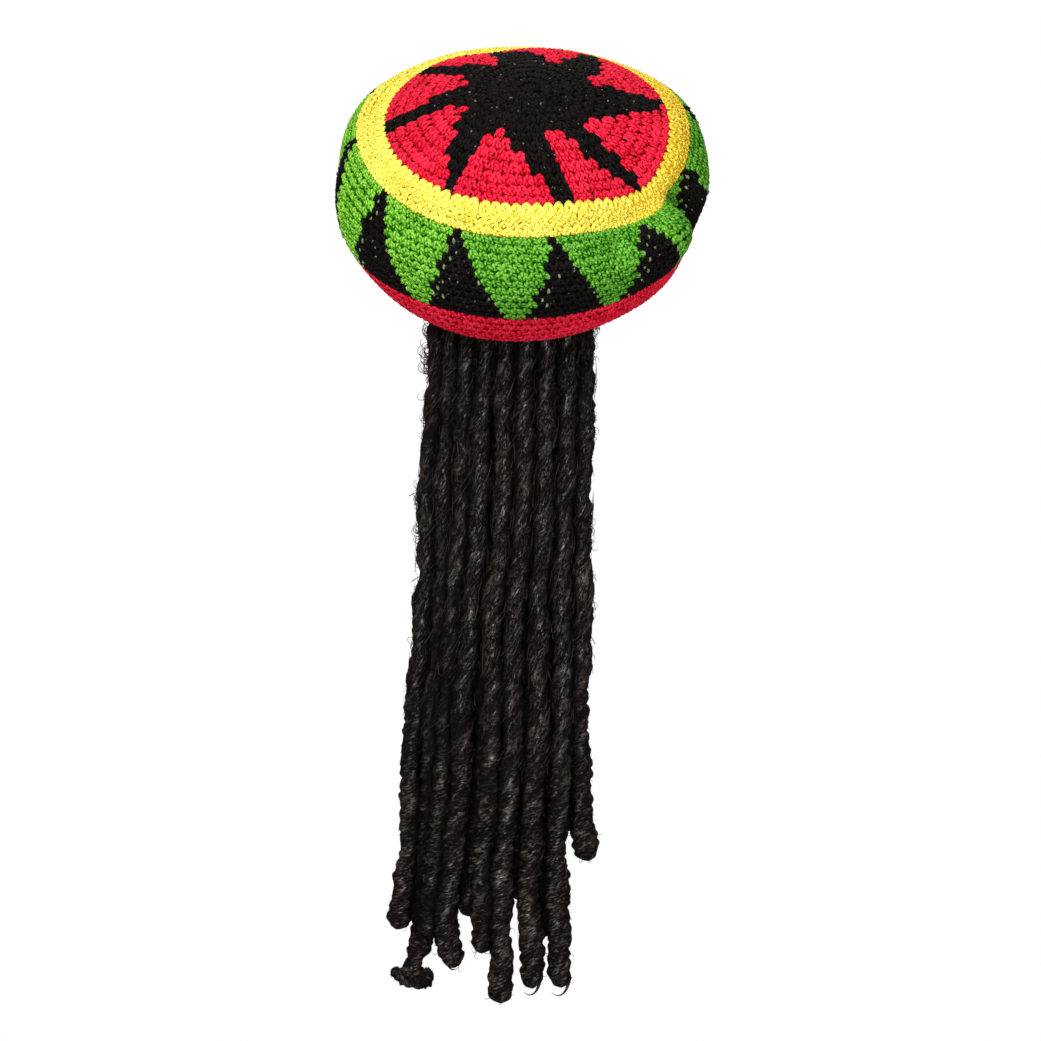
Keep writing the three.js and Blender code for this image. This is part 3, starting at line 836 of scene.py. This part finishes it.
def wall_cloth(name, levels, columns, angle_at, keeps, stitches):
    """A sheet of the wall, kept where keeps says so for a cell, with a map that counts its stitches"""
    finer = 2
    steps = 3
    fine_levels = [
        mix(start, end, step / steps) for start, end in zip(levels, levels[1:]) for step in range(steps)
    ] + [levels[-1]]
    rows = len(fine_levels) - 1
    wide = columns * finer
    bm = bmesh.new()
    bmesh.ops.create_grid(bm, x_segments=wide, y_segments=rows, size=0.5)
    cloth = bm.loops.layers.uv.new("cloth")
    spare = []
    for face in bm.faces:
        middle = face.calc_center_median()
        if not keeps(int((0.5 - middle.y) * rows) // steps, int((middle.x + 0.5) * wide) // finer):
            spare.append(face)
    bmesh.ops.delete(bm, geom=spare, context="FACES")
    for vert in bm.verts:
        row = round((0.5 - vert.co.y) * rows)
        column = round((vert.co.x + 0.5) * wide) / finer
        level = fine_levels[row]
        angle = angle_at(level, column)
        rounds = row / rows * (levels[-1] - levels[0]) * ROUNDS_PER_LEVEL
        for loop in vert.link_loops:
            loop[cloth].uv = (angle / 360 * stitches, rounds)
        vert.co = wall_point(angle, level, CLOTH_DEPTH)
    bmesh.ops.remove_doubles(bm, verts=bm.verts, dist=1e-5)
    return mesh_from(bm, name)


def dress_tam():
    stitch = stitch_shape()
    places = stitch_places()
    crown_levels = [0, 0.5 * STAR_LEVEL, STAR_LEVEL, mix(STAR_LEVEL, 1, 1 / 3), mix(STAR_LEVEL, 1, 2 / 3), 1]
    side_levels = [2, TIP_LEVEL, 2.55, 3, 3.5, 4]

    def wedge_cell(row, column):
        return row >= 2 and column % SECTOR_COLUMNS < WEDGE_COLUMNS

    def triangle_cell(row, column):
        return row > 0 and CELLS_ACROSS / 2 <= column % (2 * CELLS_ACROSS) < 1.5 * CELLS_ACROSS

    crown = (crown_levels, len(STAR_RAYS) * SECTOR_COLUMNS, crown_angle)
    side_columns = 2 * CELLS_ACROSS * TRIANGLE_COUNT
    triangles = [f"triangle_{number:02d}" for number in range(1, TRIANGLE_COUNT + 1)]
    wedges = [f"crown_red_{number}" for number in range(1, len(STAR_RAYS) + 1)]
    # Piece, its yarn, its nodes, its cloth's levels, columns and angles, its cells, its stitches round
    pieces = [
        ("crown_star", "black_yarn", ["crown_star"], *crown, lambda r, c: not wedge_cell(r, c), 80),
        ("crown_red", "red_yarn", wedges, *crown, wedge_cell, 80),
        ("yellow_round", "yellow_yarn", ["yellow_round"], [1, 1.5, 2], side_columns, side_angle,
         lambda r, c: True, 116),
        ("green_side", "green_yarn", ["green_side"], side_levels, side_columns, side_angle,
         lambda r, c: not triangle_cell(r, c), 132),
        ("triangles", "black_yarn", triangles, side_levels, side_columns, side_angle, triangle_cell, 132),
        ("red_underside", "red_yarn", ["red_underside"], [4, 4.6, 5.15, EDGE_LEVEL], side_columns, side_angle,
         lambda r, c: True, 110),
        ("edge_round", "yellow_yarn", ["edge_round"], [EDGE_LEVEL, 6], side_columns, side_angle,
         lambda r, c: True, 88),
    ]
    for name, yarn, nodes, levels, columns, angle_at, keeps, stitches in pieces:
        made = scattered(name + "_stitches", stitch, places[name])
        finished_piece(name + "_stitches", made, YARNS[yarn], nodes)
        cloth = wall_cloth(name + "_cloth", levels, columns, angle_at, keeps, stitches)
        backing = finished_piece(name + "_cloth", cloth, CLOTHS[yarn], nodes)
        thick = backing.modifiers.new("thickness", "SOLIDIFY")
        thick.thickness = YARN_WALL - CLOTH_DEPTH
        thick.offset = -1
    nub = nub_shape()
    made = scattered("pale_loops", nub, places["pale_loops"])
    finished_piece("pale_loops", made, YARNS["pale_yarn"])
    made = scattered("dark_loops", nub, places["dark_loops"])
    finished_piece("dark_loops", made, YARNS["black_yarn"])
    bpy.data.meshes.remove(stitch)
    bpy.data.meshes.remove(nub)


# Dreadlocks
LOCK_STEPS = 240
# Share of a lock's length at which its hook to one side starts, and at which it is wound tightly, from and to
HOOK_START = 0.86
WOUND_FROM = 0.55
WOUND_TO = 0.75
TWIST_PITCH = 0.024
ROLL_PITCH = 0.0105
# How far from another lock's middle a lock's surface is hidden from the light, and how far it is free
TUCKED_HIDDEN = 1.2 * LOCK_RADIUS
TUCKED_FREE = 1.75 * LOCK_RADIUS


def lock_hang(angle, inset):
    droop = max(0.0, -(LEAN.inverted() @ wall_point(angle, 6)).z)
    leaned = LOCK_RADIUS / math.cos(TAM_LEAN) + droop * math.tan(TAM_LEAN)
    radius = OPENING_RADIUS - PIECE_GAP - leaned - inset
    turn = math.radians(angle)
    return LEAN @ Vector((radius * math.sin(turn), -radius * math.cos(turn), 0))


def lock_list():
    """Every lock with its place: its top, its bottom, its drifts and its number in the row"""
    locks = []
    for row, table in (("outer", OUTER_LOCKS), ("inner", INNER_LOCKS)):
        for number, (at, length, aside, hook, tail) in enumerate(table):
            inner = row == "inner"
            hang = lock_hang(at, SEWN_SPACING if inner else 0)
            locks.append({
                "name": f"lock_{row}_{number + 1}",
                "index": number + (0.5 if inner else 0),
                "hang": hang,
                "top": hang.z + LOCK_RISE,
                "bottom": hang.z - length * LOCK_LENGTH,
                "aside": aside,
                "hook": hook,
                "tail": tail,
                "spread_out": ROW_SPACING - SEWN_SPACING if inner else 0,
            })
    return locks


def lock_centre(lock, share):
    sway = 2 * math.pi * (2.6 * share + 0.11 * lock["index"])
    settle = clamp(4 * share)
    hooked = max(0.0, share - HOOK_START) / (1 - HOOK_START)
    wave = settle * 0.2 * LOCK_RADIUS
    drift = LOCK_LENGTH * (lock["aside"] * share ** 1.2 + lock["hook"] * hooked * hooked)
    # Crinkles, which the part's source leaves out
    crinkle = settle * 0.34 * LOCK_RADIUS * noise.noise((11.3 * lock["index"], 2.7, 17 * share))
    return Vector((
        lock["hang"].x + drift + crinkle + wave * math.sin(sway),
        lock["hang"].y + lock["spread_out"] * settle + wave * math.cos(sway),
        mix(lock["top"], lock["bottom"], share),
    ))


def wound_share(share):
    """0 where a lock is loosely twisted, 1 where it is tightly wound towards its tip"""
    return clamp((share - WOUND_FROM) / (WOUND_TO - WOUND_FROM))


def lock_radius(lock, share, angle):
    """Thick and thin of a lock: frizzy lumps above, wound rolls of hair below, and a rounded tip"""
    length = lock["top"] - lock["bottom"]
    seed = 7.3 * lock["index"]
    tight = wound_share(share)
    down = share * length
    place = Vector((math.cos(angle), math.sin(angle), 60 * down + seed))
    uneven = noise.noise(place)
    swell = 0.07 * math.sin(2 * math.pi * (6.5 * share + 0.37 * lock["index"]))
    twist = 0.08 * math.cos(2 * math.pi * down / TWIST_PITCH + angle + 4 * uneven + seed)
    pace = 2.6 * noise.noise((seed, 0, 24 * down))
    rolled = math.pi * down / ROLL_PITCH + pace + 0.5 * angle + 1.2 * uneven + seed
    roll = 0.2 * abs(math.sin(rolled)) - 0.11
    frizz = 0.16 * noise.noise(2.6 * place) + 0.1 * noise.noise(6.1 * place)
    past_end = clamp((share - 1) * length / (1.3 * LOCK_RADIUS) + 1)
    rounding = math.sqrt(max(0.02, 1 - past_end ** 2))
    size = mix(LOCK_TOP, 1, share) + swell + mix(twist + 0.16 * uneven, roll + 0.14 * uneven, tight) + frizz
    if lock["spread_out"]:
        # The inner locks are frizzier, and close the gaps between the outer ones
        size *= INNER_LOCK_SWELL
    if lock["name"] == UNWOUND_LOCK:
        size *= 1 - PINCH_DEPTH * math.exp(-((share - PINCH_AT) / PINCH_SPREAD) ** 2)
    return LOCK_RADIUS * size * rounding


def tuft_mesh(lock):
    """The frizzy end of the unwound lock, which lies across its tip"""
    middle = lock_centre(lock, TIP_SHARE)
    # Steps across the tuft: aside, down, radius
    sections = [
        (-0.0155, -0.0095, 0.0012), (-0.014, -0.0085, 0.004), (-0.0105, -0.006, 0.005),
        (-0.006, -0.003, 0.0058), (-0.001, -0.0015, 0.0074), (0.004, -0.002, 0.008),
        (0.009, -0.0025, 0.0082), (0.0125, -0.003, 0.0078), (0.0155, -0.0035, 0.006),
        (0.0175, -0.0035, 0.002),
    ]
    steps = 27
    points = []
    radii = []
    for step in range(steps + 1):
        place = step / steps * (len(sections) - 1)
        index = min(int(place), len(sections) - 2)
        aside, down, radius = (
            mix(start, end, place - index) for start, end in zip(sections[index], sections[index + 1]))
        points.append(middle + Vector((aside, 0.001, -0.008 - down)))
        radii.append(radius)
    bm = strand_mesh()

    def ragged(index, angle):
        place = Vector((math.cos(angle), math.sin(angle), 0.5 * index))
        return radii[index] * (1 + 0.3 * noise.noise(1.3 * place) + 0.3 * noise.noise(2.9 * place))

    sweep(bm, frames_along(points, Vector((0, -1, 0))), 14, ragged, lambda index: 0.6)
    return mesh_from(bm, lock["name"] + "_tuft")


def lock_path(lock):
    return [lock_centre(lock, step / LOCK_STEPS) for step in range(LOCK_STEPS + 1)]


def tucked_share(place, paths):
    """How deep a place lies in between the locks whose paths are given: 0 free, 1 hidden from the light"""
    nearest = TUCKED_FREE
    for path in paths:
        down = (path[0].z - place.z) / (path[0].z - path[-1].z)
        if 0 <= down <= 1:
            centre = path[round(down * LOCK_STEPS)]
            nearest = min(nearest, math.hypot(place.x - centre.x, place.y - centre.y))
    return (TUCKED_FREE - nearest) / (TUCKED_FREE - TUCKED_HIDDEN)


def lock_mesh(lock, paths):
    bm = strand_mesh()
    bm.verts.layers.float.new("between_locks_shade")
    sweep(bm, frames_along(paths[lock["name"]], Vector((0, -1, 0))), 16,
          lambda index, angle: lock_radius(lock, index / LOCK_STEPS, angle),
          lambda index: wound_share(index / LOCK_STEPS))
    others = [path for name, path in paths.items() if name != lock["name"]]
    strand = bm.verts.layers.float_vector["strand"]
    between_locks_shade = bm.verts.layers.float["between_locks_shade"]
    # Keeps how deep each place lies between the other locks, for the painted shade between locks
    for vert in bm.verts:
        vert[between_locks_shade] = clamp(tucked_share(vert.co, others))
        # Every lock starts elsewhere in the hair's pattern, so that no two match
        vert[strand].z += 1.7 * lock["index"]
    return mesh_from(bm, lock["name"])


def tail_mesh(lock):
    """A thin twist of hair that leaves one side of a lock's tip and curls across it"""
    curl = lock["tail"]
    start = lock_centre(lock, TIP_SHARE)
    steps = 12
    whole_turn = math.radians(125)
    # Sideways reach of a curl of radius 1 over that turn
    reach = 1.57
    root_radius = 0.0026
    points = []
    for step in range(steps + 1):
        turn = whole_turn * step / steps
        aside = -0.6 * curl + 1.2 * curl * (1 - math.cos(turn)) / reach
        points.append(start + Vector((aside, 0, -1.35 * abs(curl) * math.sin(turn))))
    bm = strand_mesh()
    sweep(bm, frames_along(points, Vector((0, -1, 0))), 7,
          lambda index, angle: root_radius * (1 - 0.94 * (index / steps) ** 0.4))
    return mesh_from(bm, lock["name"] + "_tail")


# Hairs on each lock of the inner row and of the outer one
LYING_HAIRS = (150, 420)
STANDING_HAIRS = (60, 230)


def hair_places(locks):
    """Where loose hairs lie along the locks, and where they stand off them"""
    chance = random.Random(5)
    lying = []
    standing = []
    for lock in locks:
        outer = "outer" in lock["name"]
        for _ in range(LYING_HAIRS[outer]):
            share = chance.uniform(0.01, 0.97)
            angle = chance.uniform(0, 2 * math.pi)
            out = Vector((math.cos(angle), math.sin(angle), 0))
            # A lock's path runs down, so its own angles run the other way round
            surface = lock_radius(lock, share, -angle)
            position = lock_centre(lock, share) + out * surface * chance.uniform(0.9, 1.04)
            across = Vector((-out.y, out.x, 0))
            tight = wound_share(share)
            slant = mix(chance.gauss(0.45, 0.3), chance.gauss(1.6, 0.7), tight)
            upward = (Vector((0, 0, 1)) + slant * across).normalized()
            length = chance.uniform(0.012, 0.03) * (1 - 0.6 * tight)
            lying.append((position, out, upward, Vector((length, length, length)), chance.random() ** 2))
        for _ in range(STANDING_HAIRS[outer]):
            share = chance.uniform(0.0, 1.0) ** 1.15
            angle = chance.uniform(0, 2 * math.pi)
            out = Vector((math.cos(angle), math.sin(angle), 0))
            position = lock_centre(lock, share) + out * lock_radius(lock, share, -angle) * 0.85
            upward = Vector((chance.gauss(0, 0.7), chance.gauss(0, 0.3), chance.gauss(-0.3, 0.8)))
            upward.normalize()
            facing = out.cross(upward).normalized() if chance.random() < 0.5 else out
            length = chance.uniform(0.003, 0.009) * (1.5 if share < 0.25 else 1)
            standing.append(
                (position, facing, upward, Vector((length, length, length)), 0.4 * chance.random()))
    at = {lock["name"]: lock for lock in locks}
    for name, middle, side, count, size in FRIZZ:
        for _ in range(count):
            share = max(0.0, chance.gauss(middle, 0.014))
            foot = Vector((0.72 * side * LOCK_RADIUS, chance.gauss(-0.1, 0.4) * LOCK_RADIUS, 0))
            facing = Vector((chance.gauss(0, 0.2), -1, chance.gauss(0, 0.2))).normalized()
            upward = Vector((side, 0, chance.gauss(0, 0.35))).normalized()
            length = size * chance.uniform(0.6, 1.1)
            standing.append((
                lock_centre(at[name], share) + foot, facing, upward, Vector((length, 0.75 * length, length)),
                chance.random()))
    return lying, standing


def weft_mesh():
    """The sewn strip inside the opening that carries the locks"""
    past_locks = 6
    above_edge = 0.001
    start = OUTER_LOCKS[0][0] - past_locks
    end = OUTER_LOCKS[-1][0] + past_locks
    steps = 24
    middle = OPENING_RADIUS - PIECE_GAP - WEFT_THICKNESS / 2
    points = []
    for step in range(steps + 1):
        angle = mix(start, end, step / steps)
        foot = (LEAN.inverted() @ wall_point(angle, 6)).z + above_edge
        turn = math.radians(angle)
        height = foot + WEFT_HEIGHT / 2
        points.append(LEAN @ Vector((middle * math.sin(turn), -middle * math.cos(turn), height)))
    bm = strand_mesh()
    up = (LEAN @ Vector((0, 0, 1))).normalized()
    deep = 0.98 * WEFT_THICKNESS / 2
    tall = 0.98 * WEFT_HEIGHT / 2

    def strip_radius(index, angle):
        return deep * tall / math.hypot(tall * math.cos(angle), deep * math.sin(angle))

    sweep(bm, frames_along(points, up), 12, strip_radius)
    return mesh_from(bm, "weft")


def dress_fringe():
    locks = lock_list()
    paths = {lock["name"]: lock_path(lock) for lock in locks}
    for lock in locks:
        finished_piece(lock["name"], lock_mesh(lock, paths), LOCK_HAIR, ["dreadlock_fringe"])
        if lock["tail"]:
            finished_piece(lock["name"] + "_tail", tail_mesh(lock), LOCK_HAIR)
        if lock["name"] == UNWOUND_LOCK:
            finished_piece(lock["name"] + "_tuft", tuft_mesh(lock), LOCK_HAIR)
    finished_piece("weft", weft_mesh(), LOCK_HAIR, ["dreadlock_fringe"])
    lying, standing = hair_places(locks)
    bowed = hair_shape([(0, -0.5, -0.01), (0.03, -0.2, 0.012), (0.05, 0.15, 0.014), (0, 0.5, -0.01)], 0.014)
    finished_piece("lying_hairs", scattered("lying_hairs", bowed, lying), LOOSE_HAIR)
    curl = hair_shape([
        (0, 0, 0), (0.02, 0.16, 0.05), (0.1, 0.31, 0.1), (0.24, 0.43, 0.14), (0.4, 0.46, 0.16),
        (0.54, 0.39, 0.14), (0.62, 0.26, 0.1), (0.64, 0.13, 0.05), (0.6, 0.02, 0)], 0.038)
    finished_piece("standing_hairs", scattered("standing_hairs", curl, standing), LOOSE_HAIR)
    bpy.data.meshes.remove(bowed)
    bpy.data.meshes.remove(curl)


def plain_floor():
    """A pale floor well below the tam, which the camera sees lit to white"""
    reach = 400
    floor_height = -1.6
    bm = bmesh.new()
    bmesh.ops.create_grid(bm, x_segments=1, y_segments=1, size=reach)
    bmesh.ops.translate(bm, verts=bm.verts, vec=(0, 0, floor_height))
    floor = bpy.data.objects.new("floor", mesh_from(bm, "floor"))
    material, tree = new_material("floor_white")
    pale = add_node(tree, "ShaderNodeBsdfDiffuse", {"Color": (0.35, 0.35, 0.35, 1)})
    white = add_node(tree, "ShaderNodeEmission", {"Color": (1, 1, 1, 1), "Strength": 1.0})
    seen = add_node(tree, "ShaderNodeLightPath").outputs["Is Camera Ray"]
    shader = add_node(tree, "ShaderNodeMixShader", {0: seen, 1: pale.outputs[0], 2: white.outputs[0]})
    add_node(tree, "ShaderNodeOutputMaterial", {"Surface": shader.outputs[0]})
    floor.data.materials.append(material)
    bpy.context.collection.objects.link(floor)


def studio_light():
    world = bpy.data.worlds.new("studio")
    world.use_nodes = True
    world.node_tree.nodes["Background"].inputs["Color"].default_value = (1, 1, 1, 1)
    world.node_tree.nodes["Background"].inputs["Strength"].default_value = 0.36
    bpy.context.scene.world = world
    bpy.context.scene.view_settings.view_transform = "Standard"
    # Name, where it stands, its size and its power
    for name, place, size, power in (
        ("key", (-1.35, -2.1, 1.8), 0.8, 92),
        ("front", (-0.1, -2.5, -0.85), 0.35, 36),
        ("side", (1.8, -1.6, 1.0), 1.0, 24),
        ("back", (0.3, 1.8, 1.6), 1.0, 24),
    ):
        lamp = bpy.data.lights.new(name, "AREA")
        lamp.size = size
        lamp.energy = power
        light = bpy.data.objects.new(name, lamp)
        light.location = place
        light.rotation_euler = Vector(place).to_track_quat("Z", "Y").to_euler()
        bpy.context.collection.objects.link(light)


camera_at_photo_angle()

PLIED_YARN = ply_group()
CROCHET_RELIEF = crochet_group()
TWISTED_HAIR = hair_group()
YARNS = {
    "black_yarn": yarn_material(
        "black_yarn", linear(1, 1, 1), linear(6, 5, 4), linear(26, 22, 21), 1.2, fleck=linear(120, 120, 120)),
    "red_yarn": yarn_material("red_yarn", linear(100, 0, 10), linear(192, 3, 30), linear(246, 46, 74), 1.3),
    # The yellow turns darker and more orange from x 0.07 m to 0.16 m: painted shade on the +X side, where the
    # wall folds
    "yellow_yarn": yarn_material(
        "yellow_yarn", linear(190, 146, 28), linear(238, 210, 66), linear(253, 242, 112), 1.3,
        aside=(linear(150, 110, 10), linear(214, 170, 34), linear(250, 216, 72))),
    # The green turns darker from x -0.08 m to 0.02 m: painted light on the -X side and painted shade towards
    # +X
    "green_yarn": yarn_material(
        "green_yarn", linear(12, 80, 0), linear(64, 138, 12), linear(150, 218, 74), 1.25,
        aside=(linear(2, 50, 0), linear(32, 104, 6), linear(116, 188, 62)), turn=(-0.08, 0.02)),
    "pale_yarn": yarn_material(
        "pale_yarn", linear(84, 124, 60), linear(150, 190, 112), linear(214, 234, 190)),
}
# Each cloth's first colour is the painted shade of its relief's hollows, its second near the yarn's own
# colour
CLOTHS = {
    "black_yarn": cloth_material("black_cloth", linear(2, 1, 1), linear(9, 7, 7)),
    "red_yarn": cloth_material("red_cloth", linear(110, 0, 14), linear(190, 4, 32)),
    "yellow_yarn": cloth_material("yellow_cloth", linear(214, 170, 44), linear(244, 220, 80)),
    "green_yarn": cloth_material("green_cloth", linear(10, 76, 2), linear(50, 128, 16)),
}
# Its light colour is the painted highlight of its streaks, its shade colour the painted shade between fibres
# and between the locks
LOCK_HAIR = hair_material("lock_hair", linear(1, 1, 0), linear(11, 8, 6), linear(84, 74, 65))
LOOSE_HAIR = loose_hair_material("loose_hair", linear(4, 3, 2), linear(72, 64, 56))

plain_floor()
studio_light()
dress_tam()
dress_fringe()
